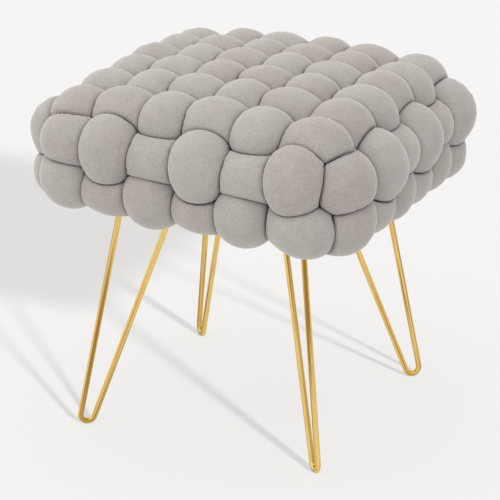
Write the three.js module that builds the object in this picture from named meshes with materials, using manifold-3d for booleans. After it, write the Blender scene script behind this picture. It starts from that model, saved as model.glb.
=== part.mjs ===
// Braided velvet pouf: a square seat of stuffed velvet tubes in a plain weave, on four hairpin legs.
// Millimetres, +Z up. The origin lies on the floor under the middle of the seat; the front faces -Y.
// Column tubes run from front to back over the top, row tubes from left to right, and two band
// tubes go round the sides. Each tube passes over one crossing tube and under the next.
import * as THREE from "three";
import Module from "manifold-3d";
import { mergeVertices } from "three/addons/utils/BufferGeometryUtils.js";

// Weave of the top
const lines = 6; // columns, and rows
const pitch = 60; // from one column or row to the next
const topHeight = 407; // mean height of the weave at the middle of the top
const topDrop = 16; // how much lower it lies at the middle of a corner crossing
const rimTilt = 70; // outward normal at the outermost crossings of the top, degrees above level
const innerTilt = 86; // the same at the crossings next to them
const topSwing = 17; // how far a tube swings off the mean surface, out when over and in when under
const topOver = 40; // radius of a tube where it passes over, swollen
const topUnder = 31; // radius of a tube where it passes under, squeezed

// Places that a column or row tube passes from its stapled end up to the rim of the top.
// half: half width of the mean surface, tilt: its outward normal above level in degrees,
// swing: how far the tube swings off it, out where it is over and in where it is under,
// over and under: radii.
const climb = [
  { place: "end", half: 116, height: 303, tilt: -75, swing: 0, over: 16.5, under: 16.5 },
  { place: "lower band", half: 174, height: 327, tilt: -6, swing: 9, over: 38, under: 29 },
  { place: "upper band", half: 174, height: 376, tilt: 17, swing: 15, over: 41, under: 31 },
];

// The bands round the sides. first: +1 where the band passes over the leftmost tube of a side.
const bands = [
  { name: "upper_band", half: 175, height: 372, tilt: 3, swing: 14, over: 32, under: 31, first: 1 },
  { name: "lower_band", half: 172, height: 326, tilt: -11, swing: 14, over: 32, under: 30, first: -1 },
];
// A band's lump beside a corner of the seat wraps round the corner.
const corner = { shift: -2, turn: 26, out: -4, over: 36 };

// How the two nearer sides have settled. quarter: 0 is the front and 1 the right side, out, along
// and up: how far it has moved, along to the right from outside, lean: how much more it has risen
// one leanWidth to the right of its middle.
const settled = [
  { quarter: 0, out: 5, along: -5, up: 9, lean: -5 },
  { quarter: 1, out: 7, along: 0, up: 2, lean: 0 },
];
// start and full: how far out from the middle this begins and is whole. level and depth: up to
// which height a lump rises too, and how far below that it rises whole.
const settle = { start: 90, full: 170, level: 400, depth: 30, leanWidth: 150 };

// Lumps that are stuffed or pulled a little differently from the rest of the weave.
const uneven = [
  { tube: "upper_band", crossing: 0, along: 4, out: -3, up: 3, swell: 1 },
  { tube: "upper_band", crossing: 6, along: -3, out: 0, up: -3, swell: 6 },
  { tube: "upper_band", crossing: 8, along: 2, out: 0, up: 0, swell: 2 },
  { tube: "lower_band", crossing: 5, along: 3, out: 0, up: 0, swell: 5 },
  { tube: "lower_band", crossing: 9, along: 0, out: 0, up: -2, swell: 0 },
  { tube: "lower_band", crossing: 11, along: 0, out: 0, up: -2, swell: 1 },
  { tube: "lower_band", crossing: 23, along: 0, out: 0, up: 3, swell: 1 },
  { tube: "column_1", crossing: 1, along: -1, out: 0, up: 3, swell: 0 },
  { tube: "column_3", crossing: 1, along: -4, out: 2, up: 0, swell: 2 },
  { tube: "column_4", crossing: 2, along: 2, out: 0, up: -2, swell: 2 },
  { tube: "column_5", crossing: 1, along: -4, out: 2, up: 0, swell: 2 },
  { tube: "column_6", crossing: 2, along: -4, out: 0, up: 0, swell: -1 },
  { tube: "row_1", crossing: 2, along: 0, out: -4, up: 4, swell: -4 },
  { tube: "row_1", crossing: 10, along: -1, out: 1, up: -1, swell: 3 },
  { tube: "row_2", crossing: 9, along: 4, out: 0, up: -5, swell: 3 },
  { tube: "row_4", crossing: 9, along: 0, out: 0, up: -4, swell: 2 },
  { tube: "row_6", crossing: 9, along: -2, out: 0, up: -3, swell: 1 },
];

// The settled sides reach further than the others. This moves the whole pouf back over the origin.
const recentre = { x: -5.25, y: 3.5 };

// Making of the tubes' faces
const sides = 8;
const ringsPerCrossing = 3;
const probesPerCrossing = 6; // points on a tube's centreline that press on the other tubes
const reach = 110; // no tube presses further than this
const grazing = 0.02; // a ray that looks past a probe at less than this cosine isn't pressed by it
const pressGap = 6.6; // between two tubes where they press on each other
const shoulder = 15; // the larger, the tighter a tube turns into a crease
const cutDetail = 0.2; // edges of a cut that are shorter than this are merged
const overlapAllowed = 0.005; // cubic millimetres

// Seat board, leg plates and legs
const board = { half: 124, corner: 20, bottom: 323, thick: 12, clear: 9, rest: 0.4 };
const plate = { from: 84, to: 176, width: 20, corner: 5, thick: 2.5 };
const touch = 0.3; // between two pieces that touch
const rod = { radius: 3.75, sides: 12, outerTop: 168, innerTop: 90, foot: 225, bend: 9.5, steps: 14 };
const footFlat = 0.8; // how far the rod's underside is worn flat where it stands on the floor

const materials = {
  velvet: new THREE.MeshStandardMaterial({ color: 0xb0a9a5, roughness: 0.9, metalness: 0 }),
  gold: new THREE.MeshStandardMaterial({ color: 0xd6b25a, roughness: 0.25, metalness: 1 }),
  boardCloth: new THREE.MeshStandardMaterial({ color: 0x2b2a29, roughness: 0.95, metalness: 0 }),
};

const wasm = await Module();
wasm.setup();

const radians = THREE.MathUtils.degToRad;
const placeOf = (index) => (index - (lines - 1) / 2) * pitch;
const rimPlace = placeOf(lines - 1);

// One crossing of a tube: the mean point, moved out along the normal where the tube is over and in
// where it is under. side: +1 over, -1 under.
function crossing(mean, normal, side, { swing, over, under }) {
  const point = mean.clone().addScaledVector(normal, side * swing);
  return { point, normal, radius: side > 0 ? over : under };
}

// Crossings of a tube that runs over the top, in its own frame: it runs along X, at Y = aside.
function crossTube(aside, first) {
  const profile = [];
  for (const step of climb) {
    profile.push({ x: -step.half, z: step.height, ...step });
  }
  for (let i = 0; i < lines / 2; i++) {
    const x = placeOf(i);
    const drop = (topDrop * (x * x + aside * aside)) / (2 * rimPlace * rimPlace);
    const tilt = [rimTilt, innerTilt, innerTilt][i];
    const z = topHeight - drop;
    profile.push({ x, z, tilt, swing: topSwing, over: topOver, under: topUnder });
  }
  const half = profile.map((p) => ({ ...p, angle: 180 - p.tilt }));
  const mirrored = profile.map((p) => ({ ...p, x: -p.x, angle: p.tilt })).reverse();
  return [...half, ...mirrored].map((p, i) => {
    const side = i % 2 === 1 ? first : -first;
    const normal = new THREE.Vector3(Math.cos(radians(p.angle)), 0, Math.sin(radians(p.angle)));
    return crossing(new THREE.Vector3(p.x, aside, p.z), normal, side, p);
  });
}

// Crossings of a band: the front from left to right, then the same turned for the other sides.
function bandTube(band) {
  const up = radians(band.tilt);
  const found = [];
  for (let face = 0; face < 4; face++) {
    for (let i = 0; i < lines; i++) {
      const side = i % 2 === 0 ? band.first : -band.first;
      const wraps = side > 0 && (i === 0 || i === lines - 1);
      const way = Math.sign(placeOf(i));
      const turn = wraps ? way * radians(corner.turn) : 0;
      const along = placeOf(i) + (wraps ? way * corner.shift : 0);
      const half = band.half + (wraps ? corner.out : 0);
      const normal = new THREE.Vector3(
        Math.sin(turn) * Math.cos(up), -Math.cos(turn) * Math.cos(up), Math.sin(up));
      const mean = new THREE.Vector3(along, -half, band.height);
      const axis = new THREE.Vector3(0, 0, 1);
      const angle = (face * Math.PI) / 2;
      normal.applyAxisAngle(axis, angle);
      mean.applyAxisAngle(axis, angle);
      found.push(crossing(mean, normal, side, wraps ? { ...band, over: corner.over } : band));
    }
  }
  return found;
}

// Moves a tube's crossings by the settled sides, then by its own rows of the unevenness table.
function settleTube(tube) {
  for (const row of settled) {
    const turn = (row.quarter * Math.PI) / 2;
    const outward = new THREE.Vector3(Math.sin(turn), -Math.cos(turn), 0);
    const right = new THREE.Vector3(Math.cos(turn), Math.sin(turn), 0);
    for (const { point } of tube.crossings) {
      const far = point.dot(outward) - settle.start;
      const share = THREE.MathUtils.clamp(far / (settle.full - settle.start), 0, 1);
      const low = THREE.MathUtils.clamp((settle.level - point.z) / settle.depth, 0, 1);
      const rise = row.up + (row.lean * point.dot(right)) / settle.leanWidth;
      point.addScaledVector(outward, share * row.out).addScaledVector(right, share * row.along);
      point.z += share * low * rise;
    }
  }
  for (const row of uneven.filter((r) => r.tube === tube.name)) {
    const lump = tube.crossings[row.crossing];
    const outward = new THREE.Vector3(lump.normal.x, lump.normal.y, 0).normalize();
    const right = new THREE.Vector3(-outward.y, outward.x, 0);
    lump.point.addScaledVector(outward, row.out).addScaledVector(right, row.along);
    lump.point.z += row.up;
    lump.radius += row.swell;
  }
}

// All the tubes by name, with their crossings.
function layTubes() {
  const tubes = [];
  const swap = (v) => new THREE.Vector3(v.y, v.x, v.z);
  for (let i = 0; i < lines; i++) {
    const first = i % 2 === 0 ? 1 : -1;
    const crossings = crossTube(placeOf(i), first).map((c) => ({
      ...c, point: swap(c.point), normal: swap(c.normal) }));
    tubes.push({ name: `column_${i + 1}`, crossings, closed: false });
  }
  for (let i = 0; i < lines; i++) {
    const first = i % 2 === 0 ? -1 : 1;
    tubes.push({ name: `row_${i + 1}`, crossings: crossTube(placeOf(i), first), closed: false });
  }
  for (const band of bands) {
    tubes.push({ name: band.name, crossings: bandTube(band), closed: true });
  }
  tubes.forEach(settleTube);
  return tubes;
}

// Points along a tube's centreline, each with its normal, its tangent and its radius.
function walk(tube, perCrossing) {
  const { crossings, closed } = tube;
  const spans = closed ? crossings.length : crossings.length - 1;
  const line = new THREE.CatmullRomCurve3(crossings.map((c) => c.point), closed, "centripetal");
  const normals = new THREE.CatmullRomCurve3(crossings.map((c) => c.normal), closed, "centripetal");
  const count = spans * perCrossing;
  const stops = [];
  for (let i = 0; i < (closed ? count : count + 1); i++) {
    const t = i / count;
    const span = Math.min(Math.floor(t * spans + 1e-9), spans - 1);
    const blend = THREE.MathUtils.smoothstep(t * spans - span, 0, 1);
    const next = crossings[(span + 1) % crossings.length];
    const radius = THREE.MathUtils.lerp(crossings[span].radius, next.radius, blend);
    const tangent = line.getTangent(t);
    const normal = normals.getPoint(t);
    normal.addScaledVector(tangent, -normal.dot(tangent)).normalize();
    stops.push({ point: line.getPoint(t), normal, tangent, radius });
  }
  return stops;
}

// How far a ray from a centreline goes before it enters the seat board and its clearance.
function distanceToBoard(from, ray) {
  const box = board.half + board.clear;
  const low = [-box, -box, board.bottom - board.rest];
  const high = [box, box, board.bottom + board.thick + board.clear];
  let enter = -Infinity;
  let leave = Infinity;
  for (let axis = 0; axis < 3; axis++) {
    const start = from.getComponent(axis);
    const step = ray.getComponent(axis) || 1e-9;
    const a = (low[axis] - start) / step;
    const b = (high[axis] - start) / step;
    enter = Math.max(enter, Math.min(a, b));
    leave = Math.min(leave, Math.max(a, b));
  }
  return enter > 0 && enter < leave ? enter : Infinity;
}

// Distance from a centreline to the tube's face along a ray. Each tube is a row of spheres, and two
// tubes that press on each other meet in the plane where their spheres cut. The planes and the
// tube's own radius blend, so that the face turns softly into the crease.
function faceDistance(stop, ray, others) {
  let sum = Math.pow(1 / stop.radius, shoulder);
  for (const probes of others) {
    let nearest = 0;
    for (const probe of probes) {
      const gap = probe.point.clone().sub(stop.point);
      const far = gap.length();
      const facing = gap.dot(ray) / far;
      if (far > reach || facing < grazing) continue;
      const plane = (far * far + stop.radius ** 2 - probe.radius ** 2) / (2 * far) - pressGap / 2;
      nearest = Math.max(nearest, facing / Math.max(plane, 1));
    }
    sum += Math.pow(nearest, shoulder);
  }
  return Math.min(Math.pow(sum, -1 / shoulder), distanceToBoard(stop.point, ray));
}

// A closed solid from rings of points. Open ends get a fan to their middle.
function skin(rings, closed) {
  const count = rings.length;
  const around = rings[0].length;
  const positions = rings.flat().flatMap((p) => [p.x, p.y, p.z]);
  const index = [];
  for (let i = 0; i < (closed ? count : count - 1); i++) {
    for (let j = 0; j < around; j++) {
      const a = i * around + j;
      const b = i * around + ((j + 1) % around);
      const c = ((i + 1) % count) * around + ((j + 1) % around);
      const d = ((i + 1) % count) * around + j;
      index.push(a, b, c, a, c, d);
    }
  }
  if (!closed) {
    for (const [ring, flip] of [[0, false], [count - 1, true]]) {
      const middle = rings[ring].reduce((sum, p) => sum.add(p), new THREE.Vector3());
      middle.divideScalar(around);
      const hub = positions.length / 3;
      positions.push(middle.x, middle.y, middle.z);
      for (let j = 0; j < around; j++) {
        const a = ring * around + j;
        const b = ring * around + ((j + 1) % around);
        index.push(hub, flip ? a : b, flip ? b : a);
      }
    }
  }
  const geometry = new THREE.BufferGeometry();
  geometry.setAttribute("position", new THREE.Float32BufferAttribute(positions, 3));
  geometry.setIndex(index);
  geometry.computeVertexNormals();
  return geometry;
}

function solidOf(geometry) {
  const bare = geometry.clone();
  bare.deleteAttribute("normal");
  const merged = mergeVertices(bare);
  return new wasm.Manifold(new wasm.Mesh({
    numProp: 3,
    vertProperties: new Float32Array(merged.attributes.position.array),
    triVerts: new Uint32Array(merged.index.array),
  }));
}

function geometryOf(solid) {
  const mesh = solid.getMesh();
  const geometry = new THREE.BufferGeometry();
  geometry.setAttribute("position", new THREE.BufferAttribute(mesh.vertProperties, 3));
  geometry.setIndex(new THREE.BufferAttribute(mesh.triVerts, 1));
  geometry.computeVertexNormals();
  return geometry;
}

// A ring of points round a centre, at the distance that reachOf gives for each ray.
function ringAt(centre, normal, tangent, around, reachOf) {
  const aside = new THREE.Vector3().crossVectors(tangent, normal);
  const ring = [];
  for (let j = 0; j < around; j++) {
    const angle = (j / around) * 2 * Math.PI;
    const ray = normal.clone().multiplyScalar(Math.cos(angle));
    ray.addScaledVector(aside, Math.sin(angle));
    ring.push(centre.clone().addScaledVector(ray, reachOf(ray)));
  }
  return ring;
}

// The tube's skin, with its face moved out by grow.
function tubeSkin(tube, tubes, grow) {
  const others = tubes.filter((other) => other !== tube).map((other) => other.probes);
  const rings = walk(tube, ringsPerCrossing).map((stop) =>
    ringAt(stop.point, stop.normal, stop.tangent, sides, (ray) =>
      faceDistance(stop, ray, others) + grow));
  return skin(rings, tube.closed);
}

// The largest body of a cut tube, without the very short edges of the cut.
function tidied(solid) {
  const bodies = solid.simplify(cutDetail).decompose();
  return bodies.sort((a, b) => b.volume() - a.volume())[0];
}

// The flat facets of two tubes can still cut into each other beside a crease. There the tube that
// comes first in the list gives way and keeps a gap to the other, and in a second round the other.
function pressedTubes(tubes) {
  const grown = tubes.map((tube) => solidOf(tubeSkin(tube, tubes, touch + cutDetail)));
  const cut = tubes.map((tube) => solidOf(tubeSkin(tube, tubes, 0)));
  for (const firstGives of [true, false]) {
    for (let i = 0; i < tubes.length; i++) {
      for (let j = i + 1; j < tubes.length; j++) {
        if (cut[i].intersect(cut[j]).volume() <= overlapAllowed) continue;
        const [giver, keeper] = firstGives ? [i, j] : [j, i];
        cut[giver] = tidied(cut[giver].subtract(grown[keeper]));
      }
    }
  }
  return cut.map(geometryOf);
}

// A flat plate with round corners, lying on z = 0.
function roundedPlate(length, width, cornerRadius, thick) {
  const x = length / 2 - cornerRadius;
  const y = width / 2 - cornerRadius;
  const shape = new THREE.Shape();
  shape.absarc(x, y, cornerRadius, 0, Math.PI / 2);
  shape.absarc(-x, y, cornerRadius, Math.PI / 2, Math.PI);
  shape.absarc(-x, -y, cornerRadius, Math.PI, 1.5 * Math.PI);
  shape.absarc(x, -y, cornerRadius, 1.5 * Math.PI, 2 * Math.PI);
  return new THREE.ExtrudeGeometry(shape, { depth: thick, bevelEnabled: false, curveSegments: 5 });
}

// A hairpin leg in its own plane, X away from the middle of the seat: down the outer rod, round the
// bend that stands on the floor, and up the inner rod. The rods leave the bend as tangents.
function hairpinGeometry(topHeightOfRod) {
  const middle = new THREE.Vector2(rod.foot, rod.bend + rod.radius - footFlat);
  const tangentAngle = (top, way) => {
    const out = new THREE.Vector2(top, topHeightOfRod).sub(middle);
    return out.angle() + way * Math.acos(rod.bend / out.length());
  };
  const first = tangentAngle(rod.outerTop, -1);
  const last = tangentAngle(rod.innerTop, 1) - 2 * Math.PI;
  const path = [new THREE.Vector2(rod.outerTop, topHeightOfRod)];
  for (let i = 0; i <= rod.steps; i++) {
    const angle = THREE.MathUtils.lerp(first, last, i / rod.steps);
    path.push(new THREE.Vector2(Math.cos(angle), Math.sin(angle)).multiplyScalar(rod.bend).add(middle));
  }
  path.push(new THREE.Vector2(rod.innerTop, topHeightOfRod));
  const rings = path.map((p, i) => {
    const before = path[Math.max(i - 1, 0)];
    const after = path[Math.min(i + 1, path.length - 1)];
    const along = after.clone().sub(before).normalize();
    const level = i === 0 || i === path.length - 1;
    const tangent = level
      ? new THREE.Vector3(0, 0, Math.sign(along.y))
      : new THREE.Vector3(along.x, 0, along.y);
    const normal = new THREE.Vector3(-tangent.z, 0, tangent.x);
    const turned = normal.applyAxisAngle(tangent, Math.PI / rod.sides);
    const ring = ringAt(new THREE.Vector3(p.x, 0, p.y), turned, tangent, rod.sides, () => rod.radius);
    ring.forEach((v) => { v.z = Math.max(v.z, 0); });
    return ring;
  });
  return skin(rings, false);
}

function named(name, geometry, material) {
  const mesh = new THREE.Mesh(geometry, material);
  mesh.name = name;
  return mesh;
}

const pouf = new THREE.Group();
const whole = new THREE.Group();
whole.position.set(recentre.x, recentre.y, 0);
pouf.add(whole);

const tubes = layTubes();
for (const tube of tubes) tube.probes = walk(tube, probesPerCrossing);
pressedTubes(tubes).forEach((geometry, i) => {
  whole.add(named(tubes[i].name, geometry, materials.velvet));
});

const boardShape = roundedPlate(2 * board.half, 2 * board.half, board.corner, board.thick);
const seatBoard = named("seat_board", boardShape, materials.boardCloth);
seatBoard.position.z = board.bottom;
whole.add(seatBoard);

const plateBottom = board.bottom - touch - plate.thick;
const corners = [
  { name: "front_left", angle: -135 },
  { name: "front_right", angle: -45 },
  { name: "back_right", angle: 45 },
  { name: "back_left", angle: 135 },
];
for (const place of corners) {
  const spoke = new THREE.Group();
  spoke.rotation.z = radians(place.angle);
  const plateShape = roundedPlate(plate.to - plate.from, plate.width, plate.corner, plate.thick);
  const legPlate = named(`leg_plate_${place.name}`, plateShape, materials.gold);
  legPlate.position.set((plate.from + plate.to) / 2, 0, plateBottom);
  spoke.add(legPlate, named(`leg_${place.name}`, hairpinGeometry(plateBottom - touch), materials.gold));
  whole.add(spoke);
}

export default pouf;
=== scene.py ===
# Braided velvet pouf on gold hairpin legs, in metres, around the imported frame.
# Sizes in the dictionaries are millimetres and degrees unless a note says otherwise.
import math
import bpy
import numpy as np
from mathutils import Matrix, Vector


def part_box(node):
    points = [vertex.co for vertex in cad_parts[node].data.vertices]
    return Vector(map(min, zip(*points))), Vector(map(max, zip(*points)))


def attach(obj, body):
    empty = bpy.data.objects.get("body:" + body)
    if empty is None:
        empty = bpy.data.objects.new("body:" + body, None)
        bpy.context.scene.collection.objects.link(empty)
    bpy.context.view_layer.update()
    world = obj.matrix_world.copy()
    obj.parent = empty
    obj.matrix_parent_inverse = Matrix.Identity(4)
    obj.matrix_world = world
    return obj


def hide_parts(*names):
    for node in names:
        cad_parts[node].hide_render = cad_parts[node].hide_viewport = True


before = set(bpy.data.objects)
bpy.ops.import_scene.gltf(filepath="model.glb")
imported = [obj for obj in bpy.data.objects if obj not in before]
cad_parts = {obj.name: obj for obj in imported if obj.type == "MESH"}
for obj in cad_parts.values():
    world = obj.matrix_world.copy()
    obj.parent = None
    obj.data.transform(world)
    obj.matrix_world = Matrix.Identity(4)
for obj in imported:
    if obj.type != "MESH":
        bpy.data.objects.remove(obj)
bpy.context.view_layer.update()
mm = 0.001
recentre = (-5.25, 3.5, 0)   # the settled sides reach further: this puts the pouf back over the origin
print("frame loaded")

view = {
    "focal": 2100, "picture": 500,        # pixels
    "turn": 25.9, "rise": 20.7,           # to the right of the front, and above level
    "distance": 2440, "target": (95, -208, 294.7),
}


def makeCamera():
    data = bpy.data.cameras.new("camera")
    data.sensor_width = 36
    data.lens = data.sensor_width * view["focal"] / view["picture"]
    data.clip_end = 100
    turn, rise = math.radians(view["turn"]), math.radians(view["rise"])
    back = Vector((math.sin(turn) * math.cos(rise), -math.cos(turn) * math.cos(rise), math.sin(rise)))
    eye = bpy.data.objects.new("camera", data)
    eye.location = (Vector(view["target"]) + Vector(recentre) + back * view["distance"]) * mm
    eye.rotation_mode = "QUATERNION"
    eye.rotation_quaternion = (-back).to_track_quat("-Z", "Y")
    bpy.context.scene.collection.objects.link(eye)
    bpy.context.scene.camera = eye


makeCamera()


# Wraps a shader socket, so that sums of sockets and numbers add their Math nodes.
class Wire:
    def __init__(self, paint, socket):
        self.paint, self.socket = paint, socket

    def maths(self, operation, *values):
        return self.paint.node("ShaderNodeMath", {"operation": operation}, dict(enumerate(values)))

    def __add__(self, other):
        return self.maths("ADD", self, other)

    def __radd__(self, other):
        return self.maths("ADD", other, self)

    def __sub__(self, other):
        return self.maths("SUBTRACT", self, other)

    def __rsub__(self, other):
        return self.maths("SUBTRACT", other, self)

    def __mul__(self, other):
        return self.maths("MULTIPLY", self, other)

    def __rmul__(self, other):
        return self.maths("MULTIPLY", other, self)


# A node tree with one way to add any node.
class Paint:
    def __init__(self, owner):
        owner.use_nodes = True
        self.tree = owner.node_tree
        self.tree.nodes.clear()

    # Settings come first, then the sockets by name or number, each a value or a wire.
    def node(self, kind, settings={}, sockets={}, out=0):
        made = self.tree.nodes.new(kind)
        for key, value in settings.items():
            setattr(made, key, value)
        for key, value in sockets.items():
            socket = made.inputs[key]
            if isinstance(value, Wire):
                self.tree.links.new(value.socket, socket)
            else:
                socket.default_value = value
        return Wire(self, made.outputs[out]) if made.outputs else None

    def mix(self, amount, first, second):
        return self.node("ShaderNodeMix", {"data_type": "RGBA"}, {0: amount, 6: first, 7: second}, out=2)

    def smooth(self, value, low, high):   # 0 below low, 1 above high, soft between
        return self.node("ShaderNodeMapRange", {"interpolation_type": "SMOOTHSTEP"},
                         {0: value, 1: low, 2: high})

    def noise(self, place, scale, detail=2.0, roughness=0.5):   # scale is per metre
        return self.node("ShaderNodeTexNoise", {}, {"Vector": place, "Scale": scale,
                                                    "Detail": detail, "Roughness": roughness})


def linear(red, green, blue):   # screen colour from 0 to 255 as a linear one
    parts = [c / 255 for c in (red, green, blue)]
    return [c / 12.92 if c < 0.04045 else ((c + 0.055) / 1.055) ** 2.4 for c in parts] + [1.0]


def newMaterial(name):
    material = bpy.data.materials.new(name)
    return material, Paint(material)


velvet = {
    # The crease colour is painted shade, put where the tubes press together in the creases.
    "grey": (174, 170, 165), "rose": (169, 161, 157), "crease": (103, 97, 94),
    "patch": 16.0, "mottle": 70.0, "nap": 520.0,   # noise scales, per metre
    "napDark": (0.16, 0.15, 0.145, 1), "napLight": (0.75, 0.73, 0.71, 1),
    "napShare": 0.17, "creaseShare": 0.75,         # how much of their colour shows
    "sheen": 0.55, "sheenRoughness": 0.42,
}


# Velvet: grey and rose patches, with shade painted into the creases, and a short dense nap.
def velvetMaterial():
    material, paint = newMaterial("velvet")
    place = paint.node("ShaderNodeTexCoord", out=3)
    press = paint.node("ShaderNodeAttribute", {"attribute_name": "press"}, out=2)
    tone = paint.node("ShaderNodeAttribute", {"attribute_name": "tone"}, out=2)
    patch = paint.noise(place, velvet["patch"], 2.0, 0.55)
    mottle = paint.noise(place, velvet["mottle"], 3.0, 0.6)
    nap = paint.noise(place, velvet["nap"], 2.0, 0.6)
    warm = paint.smooth(0.55 * patch + 0.25 * mottle + 0.35 * tone, 0.40, 0.76)
    cloth = paint.mix(warm, linear(*velvet["grey"]), linear(*velvet["rose"]))
    shade = paint.smooth(nap + 0.5 * (mottle - 0.5), 0.2, 0.8)
    grain = paint.mix(shade, velvet["napDark"], velvet["napLight"])
    cloth = paint.mix(velvet["napShare"], cloth, grain)
    # Painted shade: the more a face is pressed into a crease, the more it takes the crease colour.
    cloth = paint.mix(press * velvet["creaseShare"], cloth, linear(*velvet["crease"]))
    bump = paint.node("ShaderNodeBump", {}, {"Strength": 0.5, "Distance": 0.0004,
                                             "Height": nap + 0.6 * mottle})
    shader = paint.node("ShaderNodeBsdfPrincipled", {}, {
        "Base Color": cloth, "Roughness": 0.78 + 0.15 * mottle, "Normal": bump,
        "Specular IOR Level": 0.15, "Sheen Weight": velvet["sheen"],
        "Sheen Roughness": velvet["sheenRoughness"], "Sheen Tint": (1.0, 0.97, 0.94, 1)})
    paint.node("ShaderNodeOutputMaterial", {}, {"Surface": shader})
    return material


gold = {
    # The darkest gold is painted reflection, laid on the rods as dark streaks.
    "bright": (244, 212, 134), "mid": (226, 184, 98), "reflectionDark": (168, 126, 58), "roughness": 0.16,
    "patch": 30.0, "grain": 900.0,             # noise scales, per metre
    "streak": 1.6, "fineStreak": 9.0,          # noise scales, per radius round the rod
    "reflectionStreaks": 2.5,                              # per metre along it: the smaller, the longer a streak
}


# Gold plating: polished, with dark streaks along the rod painted in as reflection; they also
# roughen it a little. The streaks follow the attributes ring_x and ring_y, a circle round the rod,
# and run, the way along it in metres.
def goldMaterial(reflectionStreaks):
    material, paint = newMaterial("reflection_streaked_gold" if reflectionStreaks else "gold")
    place = paint.node("ShaderNodeTexCoord", out=3)
    patch = paint.noise(place, gold["patch"])
    metal = paint.mix(patch, linear(*gold["mid"]), linear(*gold["bright"]))
    fine = paint.noise(place, gold["grain"])
    rough = gold["roughness"] + 0.12 * patch
    if reflectionStreaks:
        ringX, ringY, run = [paint.node("ShaderNodeAttribute", {"attribute_name": name}, out=2)
                             for name in ("ring_x", "ring_y", "run")]
        around = paint.node("ShaderNodeCombineXYZ", {}, {0: ringX, 1: ringY, 2: run * gold["reflectionStreaks"]})
        streak = paint.noise(around, gold["streak"], 1.0, 0.4)
        fine = paint.noise(around, gold["fineStreak"])
        # Painted reflection: broad and fine dark streaks round and along the rod.
        metal = paint.mix(paint.smooth(streak, 0.53, 0.64), metal, linear(*gold["reflectionDark"]))
        metal = paint.mix(0.3 * paint.smooth(fine, 0.5, 0.8), metal, linear(*gold["reflectionDark"]))
        rough = rough + 0.10 * paint.smooth(streak, 0.45, 0.6)
    bump = paint.node("ShaderNodeBump", {}, {"Strength": 0.02, "Distance": 0.0001, "Height": fine})
    shader = paint.node("ShaderNodeBsdfPrincipled", {}, {
        "Base Color": metal, "Metallic": 1.0, "Normal": bump, "Roughness": rough})
    paint.node("ShaderNodeOutputMaterial", {}, {"Surface": shader})
    return material


dustCloth = {
    "dark": (34, 33, 33), "pale": (66, 64, 63),
    "fibre": 420.0, "patch": 18.0,             # noise scales, per metre
}


# Dust cloth under the seat: dark pressed fibre with a fine uneven grain.
def dustClothMaterial():
    material, paint = newMaterial("dust_cloth")
    place = paint.node("ShaderNodeTexCoord", out=3)
    fibre = paint.noise(place, dustCloth["fibre"], 4.0, 0.7)
    patch = paint.noise(place, dustCloth["patch"])
    cloth = paint.mix(fibre, linear(*dustCloth["dark"]), linear(*dustCloth["pale"]))
    bump = paint.node("ShaderNodeBump", {}, {"Strength": 0.5, "Distance": 0.0004, "Height": fibre})
    shader = paint.node("ShaderNodeBsdfPrincipled", {}, {
        "Base Color": cloth, "Roughness": 0.85 + 0.1 * patch, "Normal": bump,
        "Specular IOR Level": 0.2})
    paint.node("ShaderNodeOutputMaterial", {}, {"Surface": shader})
    return material


# A mesh object at the origin from corner places in millimetres and faces, with values per corner.
def newPiece(name, corners, faces, material, values={}):
    mesh = bpy.data.meshes.new(name)
    mesh.from_pydata(((corners + recentre) * mm).tolist(), [], faces)
    for key, value in values.items():
        layer = mesh.attributes.new(key, "FLOAT", "POINT")
        layer.data.foreach_set("value", np.ascontiguousarray(value, dtype=np.float32).ravel())
    mesh.polygons.foreach_set("use_smooth", np.ones(len(mesh.polygons), dtype=bool))
    mesh.materials.append(material)
    mesh.update()
    piece = bpy.data.objects.new(name, mesh)
    bpy.context.scene.collection.objects.link(piece)
    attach(piece, "root")
    return piece


# Faces of a grid of rings: each ring joined to the next, and the last to the first if closed.
# Open ends get a fan to one more corner each.
def ringFaces(rings, sides, closed):
    start = np.arange(rings if closed else rings - 1)[:, None] * sides
    turn = np.arange(sides)[None, :]
    onward = (start + sides) % (rings * sides)
    step = (turn + 1) % sides
    quads = np.stack([start + turn, start + step, onward + step, onward + turn], axis=-1)
    faces = quads.reshape(-1, 4).tolist()
    if not closed:
        hub, last = rings * sides, (rings - 1) * sides
        turn, step = turn[0], step[0]
        faces += np.stack([np.full(sides, hub), step, turn], axis=-1).tolist()
        faces += np.stack([np.full(sides, hub + 1), last + turn, last + step], axis=-1).tolist()
    return faces


# The weave. Each tube is known by its crossings: where the middle of the tube would lie on the
# mean surface, the outward normal there, how far the tube swings out or in, and its radius.
weave = {
    "lines": 6, "pitch": 60,
    "topHeight": 407, "topDrop": 16, "rimTilt": 70, "innerTilt": 86,
    "topSwing": 17, "topOver": 40, "topUnder": 31,
    "gap": 0.4,          # between two tubes that press on each other
    "reach": 110,        # no tube presses further than this
    "shoulder": 30,      # the larger, the tighter a tube turns into a crease
    "probes": 14,        # pressing points from one crossing to the next
    "rings": 26, "sides": 96,
    "crowding": 0.5,     # how far the rings crowd halfway between crossings, and the sides outwards
    "pressFrom": 0.03,   # share of the radius pressed in at which a face starts to count as pressed
    "pressOver": 0.12,   # further share over which it comes to count as wholly pressed
}
climb = [   # from the stapled end up to the rim of the top
    {"half": 116, "height": 303, "tilt": -75, "swing": 0, "over": 16.5, "under": 16.5},
    {"half": 174, "height": 327, "tilt": -6, "swing": 9, "over": 38, "under": 29},
    {"half": 174, "height": 376, "tilt": 17, "swing": 15, "over": 41, "under": 31},
]
bands = [   # first is 1 where the band passes over the leftmost tube of a side
    {"name": "upper_band", "half": 175, "height": 372, "tilt": 3, "swing": 14,
     "over": 32, "under": 31, "first": 1},
    {"name": "lower_band", "half": 172, "height": 326, "tilt": -11, "swing": 14,
     "over": 32, "under": 30, "first": -1},
]
corner = {"shift": -2, "turn": 26, "out": -4, "over": 36}   # a band's lump that wraps round a corner
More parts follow.
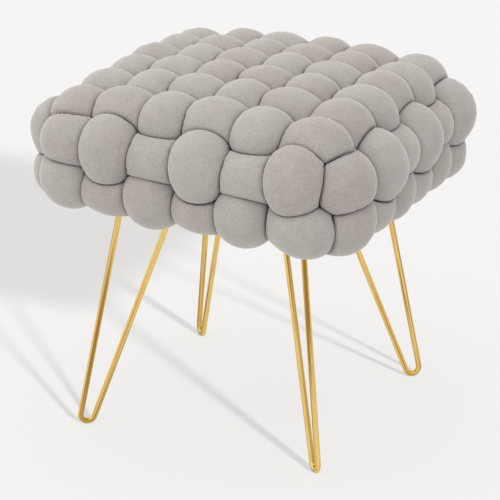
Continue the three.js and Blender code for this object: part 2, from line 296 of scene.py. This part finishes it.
settled = [   # how the two nearer sides have settled: quarter 0 is the front, 1 the right side,
              # and lean is how much more a side has risen one leanWidth to the right of its middle
    {"quarter": 0, "out": 5, "along": -5, "up": 9, "lean": -5},
    {"quarter": 1, "out": 7, "along": 0, "up": 2, "lean": 0},
]
# A side begins to settle at start from the middle and does it wholly at full. Below level a lump
# rises too, and wholly so at depth below it.
settling = {"start": 90, "full": 170, "level": 400, "depth": 30, "leanWidth": 150}
uneven = [    # lumps stuffed or pulled a little differently; along is to the right from outside
    {"tube": "upper_band", "crossing": 0, "along": 4, "out": -3, "up": 3, "swell": 1},
    {"tube": "upper_band", "crossing": 6, "along": -3, "out": 0, "up": -3, "swell": 6},
    {"tube": "upper_band", "crossing": 8, "along": 2, "out": 0, "up": 0, "swell": 2},
    {"tube": "lower_band", "crossing": 5, "along": 3, "out": 0, "up": 0, "swell": 5},
    {"tube": "lower_band", "crossing": 9, "along": 0, "out": 0, "up": -2, "swell": 0},
    {"tube": "lower_band", "crossing": 11, "along": 0, "out": 0, "up": -2, "swell": 1},
    {"tube": "lower_band", "crossing": 23, "along": 0, "out": 0, "up": 3, "swell": 1},
    {"tube": "column_1", "crossing": 1, "along": -1, "out": 0, "up": 3, "swell": 0},
    {"tube": "column_3", "crossing": 1, "along": -4, "out": 2, "up": 0, "swell": 2},
    {"tube": "column_4", "crossing": 2, "along": 2, "out": 0, "up": -2, "swell": 2},
    {"tube": "column_5", "crossing": 1, "along": -4, "out": 2, "up": 0, "swell": 2},
    {"tube": "column_6", "crossing": 2, "along": -4, "out": 0, "up": 0, "swell": -1},
    {"tube": "row_1", "crossing": 2, "along": 0, "out": -4, "up": 4, "swell": -4},
    {"tube": "row_1", "crossing": 10, "along": -1, "out": 1, "up": -1, "swell": 3},
    {"tube": "row_2", "crossing": 9, "along": 4, "out": 0, "up": -5, "swell": 3},
    {"tube": "row_4", "crossing": 9, "along": 0, "out": 0, "up": -4, "swell": 2},
    {"tube": "row_6", "crossing": 9, "along": -2, "out": 0, "up": -3, "swell": 1},
]
places = (np.arange(weave["lines"]) - (weave["lines"] - 1) / 2) * weave["pitch"]


# Crossings of a tube that runs over the top along X at Y = aside: columns x, y, z, normal, radius.
# The top drops by the square of the distance from its middle, and the far half mirrors the near.
def crossTube(aside, first):
    rise = [(-c["half"], c["height"], c["tilt"], c["swing"], c["over"], c["under"]) for c in climb]
    tilts = (weave["rimTilt"], weave["innerTilt"], weave["innerTilt"])
    for x, tilt in zip(places[:len(tilts)], tilts):
        height = weave["topHeight"] - weave["topDrop"] * (x * x + aside * aside) / (2 * places[-1] ** 2)
        rise.append((x, height, tilt, weave["topSwing"], weave["topOver"], weave["topUnder"]))
    x, z, tilt, swing, over, under = np.array(rise).T

    def whole(near, far):
        return np.concatenate([near, far[::-1]])

    x, z, swing = whole(x, -x), whole(z, z), whole(swing, swing)
    over, under = whole(over, over), whole(under, under)
    angle = np.radians(whole(180 - tilt, tilt))
    side = np.where(np.arange(len(x)) % 2 == 1, first, -first)
    normal = np.stack([np.cos(angle), np.zeros(len(x)), np.sin(angle)], axis=1)
    middle = np.stack([x, np.full(len(x), aside), z], axis=1) + normal * (side * swing)[:, None]
    return np.hstack([middle, normal, np.where(side > 0, over, under)[:, None]])


# Crossings of a band: one side from left to right, then the same turned for the other sides.
def bandTube(band):
    count = len(places)
    side = np.where(np.arange(count) % 2 == 0, band["first"], -band["first"])
    way = np.sign(places)
    wraps = (side > 0) & ((np.arange(count) == 0) | (np.arange(count) == count - 1))
    turn = np.where(wraps, way * math.radians(corner["turn"]), 0)
    up = math.radians(band["tilt"])
    normal = np.stack([np.sin(turn) * math.cos(up), -np.cos(turn) * math.cos(up),
                       np.full(count, math.sin(up))], axis=1)
    middle = np.stack([places + wraps * way * corner["shift"], -(band["half"] + wraps * corner["out"]),
                       np.full(count, band["height"])], axis=1)
    middle += normal * (side * band["swing"])[:, None]
    radius = np.where(wraps, corner["over"], np.where(side > 0, band["over"], band["under"]))
    found = []
    for quarter in range(4):
        c, s = round(math.cos(quarter * math.pi / 2)), round(math.sin(quarter * math.pi / 2))
        spin = np.array([[c, s, 0], [-s, c, 0], [0, 0, 1]])
        found.append(np.hstack([middle @ spin, normal @ spin, radius[:, None]]))
    return np.vstack(found)


# The sides that have settled, then the single lumps of the unevenness table.
def settle(tube):
    found = tube["crossings"]
    for row in settled:
        turn = row["quarter"] * math.pi / 2
        outward, right = np.array([[math.sin(turn), -math.cos(turn)], [math.cos(turn), math.sin(turn)]])
        begun = found[:, :2] @ outward - settling["start"]
        share = np.clip(begun / (settling["full"] - settling["start"]), 0, 1)
        low = np.clip((settling["level"] - found[:, 2]) / settling["depth"], 0, 1)
        up = row["up"] + row["lean"] * (found[:, :2] @ right) / settling["leanWidth"]
        found[:, :2] += share[:, None] * (row["out"] * outward + row["along"] * right)
        found[:, 2] += share * low * up
    for row in uneven:
        if row["tube"] == tube["name"]:
            lump = found[row["crossing"]]
            outward = lump[3:5] / np.hypot(lump[3], lump[4])
            lump[:2] += row["out"] * outward + row["along"] * np.array([-outward[1], outward[0]])
            lump[2] += row["up"]
            lump[6] += row["swell"]


def layTubes():
    tubes = []
    swap = [1, 0, 2, 4, 3, 5, 6]
    for i, aside in enumerate(places):
        first = 1 if i % 2 == 0 else -1
        tubes.append({"name": "column_%d" % (i + 1), "closed": False,
                      "crossings": crossTube(aside, first)[:, swap]})
    for i, aside in enumerate(places):
        first = -1 if i % 2 == 0 else 1
        tubes.append({"name": "row_%d" % (i + 1), "closed": False, "crossings": crossTube(aside, first)})
    for band in bands:
        tubes.append({"name": band["name"], "closed": True, "crossings": bandTube(band)})
    for tube in tubes:
        settle(tube)
    return tubes


# A smooth curve through the crossings, sampled at numbers counted in crossings: a cubic between
# neighbours whose slopes follow the square roots of the spacings. Radius blends by a smooth step.
def along(tube, at):
    points, closed = tube["crossings"], tube["closed"]
    count = len(points)
    if closed:
        points = points[np.arange(-1, count + 2) % count]
    else:
        points = np.vstack([2 * points[0] - points[1], points, 2 * points[-1] - points[-2]])
    spacing = np.linalg.norm(np.diff(points[:, :3], axis=0), axis=1) ** 0.5
    knots = np.concatenate([[0], np.cumsum(spacing)])
    k = np.clip(np.floor(at).astype(int), 0, (count if closed else count - 1) - 1)
    f = (at - k)[:, None]
    p, t = [points[k + i] for i in range(4)], [knots[k + i][:, None] for i in range(4)]
    span = t[2] - t[1]
    chord = (p[2] - p[1]) / span
    leave = ((p[1] - p[0]) / (t[1] - t[0]) - (p[2] - p[0]) / (t[2] - t[0]) + chord) * span
    arrive = (chord - (p[3] - p[1]) / (t[3] - t[1]) + (p[3] - p[2]) / (t[3] - t[2])) * span
    found = ((2 * f ** 3 - 3 * f ** 2 + 1) * p[1] + (f ** 3 - 2 * f ** 2 + f) * leave
             + (3 * f ** 2 - 2 * f ** 3) * p[2] + (f ** 3 - f ** 2) * arrive)
    blend = f[:, 0] ** 2 * (3 - 2 * f[:, 0])
    found[:, 6] = p[1][:, 6] * (1 - blend) + p[2][:, 6] * blend
    return found


# Stops along a tube, and the directions along it. With crowding they lie closer together halfway
# between crossings, where the creases are.
def walk(tube, perCrossing, crowding=0.0):
    closed, count = tube["closed"], len(tube["crossings"])
    spans = count if closed else count - 1
    at = np.linspace(0, spans, spans * perCrossing + (0 if closed else 1), endpoint=not closed)
    at = at + crowding * np.sin(2 * np.pi * at) / (2 * np.pi)
    little = 1e-3
    if closed:
        ahead, behind = along(tube, (at + little) % spans), along(tube, (at - little) % spans)
    else:
        ahead, behind = along(tube, np.minimum(at + little, spans)), along(tube, np.maximum(at - little, 0))
    heading = ahead[:, :3] - behind[:, :3]
    heading /= np.linalg.norm(heading, axis=1)[:, None]
    return at, along(tube, at), heading


# The tube's face: rays from the centreline end at the tube's radius or at the plane in which the
# tube and a pressing point's sphere cut each other. The two blend, as a power mean, so that the
# face turns softly into the crease. press is 0 on the free face and 1 where it is pressed.
def tubeSkin(tube, others):
    at, stops, heading = walk(tube, weave["rings"], weave["crowding"])
    centre, normal, radius = stops[:, :3], stops[:, 3:6], stops[:, 6]
    normal = normal - (normal * heading).sum(1)[:, None] * heading
    normal /= np.linalg.norm(normal, axis=1)[:, None]
    aside = np.cross(heading, normal)
    angle = np.linspace(0, 2 * np.pi, weave["sides"], endpoint=False)
    angle -= weave["crowding"] * np.sin(angle)
    rays = normal[:, None] * np.cos(angle)[None, :, None] + aside[:, None] * np.sin(angle)[None, :, None]
    total = np.repeat(radius[:, None] ** -weave["shoulder"], weave["sides"], axis=1)
    for probes in others:
        to = probes[None, :, :3] - centre[:, None]
        far = np.linalg.norm(to, axis=2)
        plane = (far ** 2 + radius[:, None] ** 2 - probes[None, :, 6] ** 2) / (2 * far) - weave["gap"] / 2
        weight = np.where(far < weave["reach"], 1 / (np.maximum(plane, 1) * far), 0)
        used = weight.any(axis=0)
        if used.any():
            toward = (to * weight[..., None])[:, used]
            nearest = np.maximum((rays @ toward.transpose(0, 2, 1)).max(axis=2), 0)
            total += nearest ** weave["shoulder"]
    reach = total ** (-1 / weave["shoulder"])
    # press also sets the shade that the velvet paints into the creases.
    press = np.clip((1 - reach / radius[:, None] - weave["pressFrom"]) / weave["pressOver"], 0, 1)
    return at, centre, rays, reach, press


# A small hand-made unevenness of stuffed cloth: slow waves of a few sizes, summed.
def ripple(points):
    x, y, z = points[..., 0], points[..., 1], points[..., 2]
    slow = np.sin(x / 23 + 1.3 * np.sin(y / 31)) + np.sin(y / 27 - 1.1 * np.sin(z / 19 + 2))
    quick = np.sin(z / 11 + x / 17 + 1.7) * np.sin(y / 13 - x / 29)
    return 0.30 * slow + 0.22 * quick


velvetSkin = velvetMaterial()
tubes = layTubes()
for tube in tubes:
    tube["probes"] = walk(tube, weave["probes"])[1]
toneMaker = np.random.RandomState(11)   # how grey or rose each lump is, the same on every run


# A tube's tone stays the same over each lump and blends in the middle third of the way to the next.
def makeTube(tube):
    others = [other["probes"] for other in tubes if other is not tube]
    at, centre, rays, reach, press = tubeSkin(tube, others)
    reach = reach + ripple(centre[:, None] + rays * reach[..., None]) * (1 - press)
    corners = centre[:, None] + rays * reach[..., None]
    tones = toneMaker.uniform(0, 1, len(tube["crossings"]) + 1)
    if tube["closed"]:
        tones[-1] = tones[0]
    k = np.minimum(at.astype(int), len(tones) - 2)
    blend = np.clip((at - k) * 3 - 1, 0, 1)
    tone = tones[k] * (1 - blend) + tones[k + 1] * blend
    tone = np.repeat(tone[:, None], weave["sides"], axis=1).ravel()
    rings, press = len(corners), press.ravel()
    corners = corners.reshape(-1, 3)
    if not tube["closed"]:
        corners = np.vstack([corners, centre[[0, -1]]])
        press, tone = np.append(press, [0, 0]), np.append(tone, [0.5, 0.5])
    faces = ringFaces(rings, weave["sides"], tube["closed"])
    piece = newPiece("velvet_" + tube["name"], corners, faces, velvetSkin, {"press": press, "tone": tone})
    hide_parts(tube["name"])


for tube in tubes:
    makeTube(tube)
print("velvet tubes laid", len(tubes))


rodGold, plateGold = goldMaterial(reflectionStreaks=True), goldMaterial(reflectionStreaks=False)
rod = {"radius": 3.75, "sides": 28, "outerTop": 168, "innerTop": 90, "foot": 225, "bend": 9.5,
       "bendSteps": 40, "worn": 0.8, "straightSteps": 12}
legCorners = {"front_left": -135, "front_right": -45, "back_right": 45, "back_left": 135}


# Centreline of a hairpin leg in its own plane: down the outer rod, round the bend on the floor
# and up the inner rod, each rod a tangent to the bend.
def hairpinLine(top):
    middle = np.array([rod["foot"], rod["bend"] + rod["radius"] - rod["worn"]])

    def tangentAngle(away, way):
        out = np.array([away, top]) - middle
        return math.atan2(out[1], out[0]) + way * math.acos(rod["bend"] / np.hypot(*out))

    first, last = tangentAngle(rod["outerTop"], -1), tangentAngle(rod["innerTop"], 1) - 2 * math.pi
    angle = np.linspace(first, last, rod["bendSteps"])
    bend = middle + rod["bend"] * np.stack([np.cos(angle), np.sin(angle)], axis=1)
    share = np.linspace(0, 1, rod["straightSteps"], endpoint=False)[:, None]
    down = np.array([rod["outerTop"], top]) * (1 - share) + bend[0] * share
    up = np.array([rod["innerTop"], top]) * (1 - share) + bend[-1] * share
    return np.vstack([down, bend, up[::-1]])


def makeLeg(name, degrees):
    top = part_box("leg_" + name)[1][2] / mm
    line = hairpinLine(top)
    heading = np.gradient(line, axis=0)
    heading[[0, -1]] = [[0, -1], [0, 1]]
    heading /= np.linalg.norm(heading, axis=1)[:, None]
    out = np.stack([-heading[:, 1], heading[:, 0]], axis=1)
    angle = (np.arange(rod["sides"]) + 0.5) * 2 * np.pi / rod["sides"]
    across = line[:, None, 0] + out[:, None, 0] * np.cos(angle) * rod["radius"]
    height = line[:, None, 1] + out[:, None, 1] * np.cos(angle) * rod["radius"]
    depth = np.broadcast_to(np.sin(angle) * rod["radius"], across.shape)
    turn = math.radians(degrees)
    corners = np.stack([across * math.cos(turn) - depth * math.sin(turn),
                        across * math.sin(turn) + depth * math.cos(turn),
                        np.maximum(height, 0)], axis=2)
    ends = [(away * math.cos(turn), away * math.sin(turn), top) for away, _ in line[[0, -1]]]
    faces = ringFaces(len(line), rod["sides"], closed=False)
    step = np.linalg.norm(np.diff(line, axis=0), axis=1)
    run = np.repeat(np.concatenate([[0], np.cumsum(step)]) * mm, rod["sides"])
    ring = np.tile([np.cos(angle), np.sin(angle)], len(line))
    values = {"run": np.append(run, run[[0, -1]]), "ring_x": np.append(ring[0], [0, 0]),
              "ring_y": np.append(ring[1], [0, 0])}
    piece = newPiece("hairpin_" + name, np.vstack([corners.reshape(-1, 3), ends]), faces, rodGold, values)
    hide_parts("leg_" + name)


# A flat plate with round corners and softly rounded edges: rounded outlines, each set in by its
# inset and at its height, from the middle of the underside to the middle of the top.
def slab(length, width, cornerRadius, thick, edge, perCorner=8, perEdge=5):
    bend = np.linspace(0, np.pi / 2, perEdge)
    inset = np.concatenate([edge * (1 - np.sin(bend)), edge * (1 - np.cos(bend))])
    height = np.concatenate([edge * (1 - np.cos(bend)), thick - edge * (1 - np.sin(bend))])
    turn = (np.arange(4)[:, None] * np.pi / 2 + np.linspace(0, np.pi / 2, perCorner)).ravel()
    pivotX = np.repeat([1, -1, -1, 1], perCorner) * (length / 2 - cornerRadius)
    pivotY = np.repeat([1, 1, -1, -1], perCorner) * (width / 2 - cornerRadius)
    radius = cornerRadius - inset[:, None]
    corners = np.stack([pivotX + radius * np.cos(turn), pivotY + radius * np.sin(turn),
                        np.broadcast_to(height[:, None], (len(height), len(turn)))], axis=2)
    corners = np.vstack([corners.reshape(-1, 3), [(0, 0, 0), (0, 0, thick)]])
    return corners, ringFaces(len(height), len(turn), closed=False)


plate = {"from": 84, "to": 176, "width": 20, "corner": 5, "edge": 0.6}
board = {"corner": 20, "edge": 2.5}


def makePlate(name, degrees):
    low, high = [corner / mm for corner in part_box("leg_plate_" + name)]
    corners, faces = slab(plate["to"] - plate["from"], plate["width"], plate["corner"],
                          high[2] - low[2], plate["edge"])
    corners += ((plate["from"] + plate["to"]) / 2, 0, low[2])
    turn = math.radians(degrees)
    spin = np.array([[math.cos(turn), math.sin(turn), 0], [-math.sin(turn), math.cos(turn), 0], [0, 0, 1]])
    piece = newPiece("plate_" + name, corners @ spin, faces, plateGold)
    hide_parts("leg_plate_" + name)


for name, degrees in legCorners.items():
    makeLeg(name, degrees)
    makePlate(name, degrees)
print("legs made", len(legCorners))


def makeBoard():
    low, high = [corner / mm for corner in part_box("seat_board")]
    corners, faces = slab(high[0] - low[0], high[1] - low[1], board["corner"], high[2] - low[2],
                          board["edge"])
    corners += (0, 0, low[2])
    piece = newPiece("covered_board", corners, faces, dustClothMaterial())
    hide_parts("seat_board")


makeBoard()

studio = {
    "floor": 60.0,                        # metres across
    "floorShade": (0.14, 0.139, 0.137), "floorGlow": (1, 0.99, 0.972), "glow": 0.565,
    "backdrop": (0.905, 0.888, 0.862),
    "sky": 0.64, "skySlope": (-0.48, -0.22, 1.35), "skyLeast": 0.12, "skyColor": (1, 0.992, 0.98),
    "keyTurn": -34.0, "keyRise": 24.0, "keySize": 4.0, "keyPower": 9.3,
}


# The key light throws the soft leg shadows to the back left. It falls on the floor only, and the
# seat takes its light from the sky and the floor.
def makeKey(floor):
    data = bpy.data.lights.new("key", "SUN")
    data.energy = studio["keyPower"]
    data.angle = math.radians(studio["keySize"])
    lamp = bpy.data.objects.new("key", data)
    turn, rise = math.radians(studio["keyTurn"]), math.radians(studio["keyRise"])
    toward = Vector((math.cos(turn) * math.cos(rise), math.sin(turn) * math.cos(rise), math.sin(rise)))
    lamp.rotation_mode = "QUATERNION"
    lamp.rotation_quaternion = (-toward).to_track_quat("-Z", "Y")
    bpy.context.scene.collection.objects.link(lamp)
    lit = bpy.data.collections.new("lit by the key")
    lit.objects.link(floor)
    lamp.light_linking.receiver_collection = lit


# A pale floor that glows, as a lit table does, and a sky that is brightest overhead and to the
# front left. The camera sees a plain backdrop in place of the sky.
def makeStudio():
    half = studio["floor"] / 2
    mesh = bpy.data.meshes.new("floor")
    mesh.from_pydata([(-half, -half, 0), (half, -half, 0), (half, half, 0), (-half, half, 0)], [],
                     [(0, 1, 2, 3)])
    material, paint = newMaterial("floor")
    shader = paint.node("ShaderNodeBsdfPrincipled", {}, {
        "Base Color": (*studio["floorShade"], 1), "Roughness": 0.9, "Specular IOR Level": 0.1,
        "Emission Color": (*studio["floorGlow"], 1), "Emission Strength": studio["glow"]})
    paint.node("ShaderNodeOutputMaterial", {}, {"Surface": shader})
    mesh.materials.append(material)
    floor = bpy.data.objects.new("floor", mesh)
    bpy.context.scene.collection.objects.link(floor)
    makeKey(floor)
    world = bpy.data.worlds.new("studio")
    bpy.context.scene.world = world
    paint = Paint(world)
    toward = paint.node("ShaderNodeTexCoord", out=0)
    slope = paint.node("ShaderNodeVectorMath", {"operation": "DOT_PRODUCT"},
                       {0: toward, 1: studio["skySlope"]}, out=1)
    bright = slope.maths("MAXIMUM", 1 + slope, studio["skyLeast"]) * studio["sky"]
    light = paint.node("ShaderNodeBackground", {}, {"Color": (*studio["skyColor"], 1), "Strength": bright})
    seen = paint.node("ShaderNodeBackground", {}, {"Color": (*studio["backdrop"], 1), "Strength": 1.0})
    fromCamera = paint.node("ShaderNodeLightPath")
    shown = paint.node("ShaderNodeMixShader", {}, {0: fromCamera, 1: light, 2: seen})
    paint.node("ShaderNodeOutputWorld", {}, {"Surface": shown})
    bpy.context.scene.view_settings.view_transform = "Standard"


makeStudio()
print("studio set")
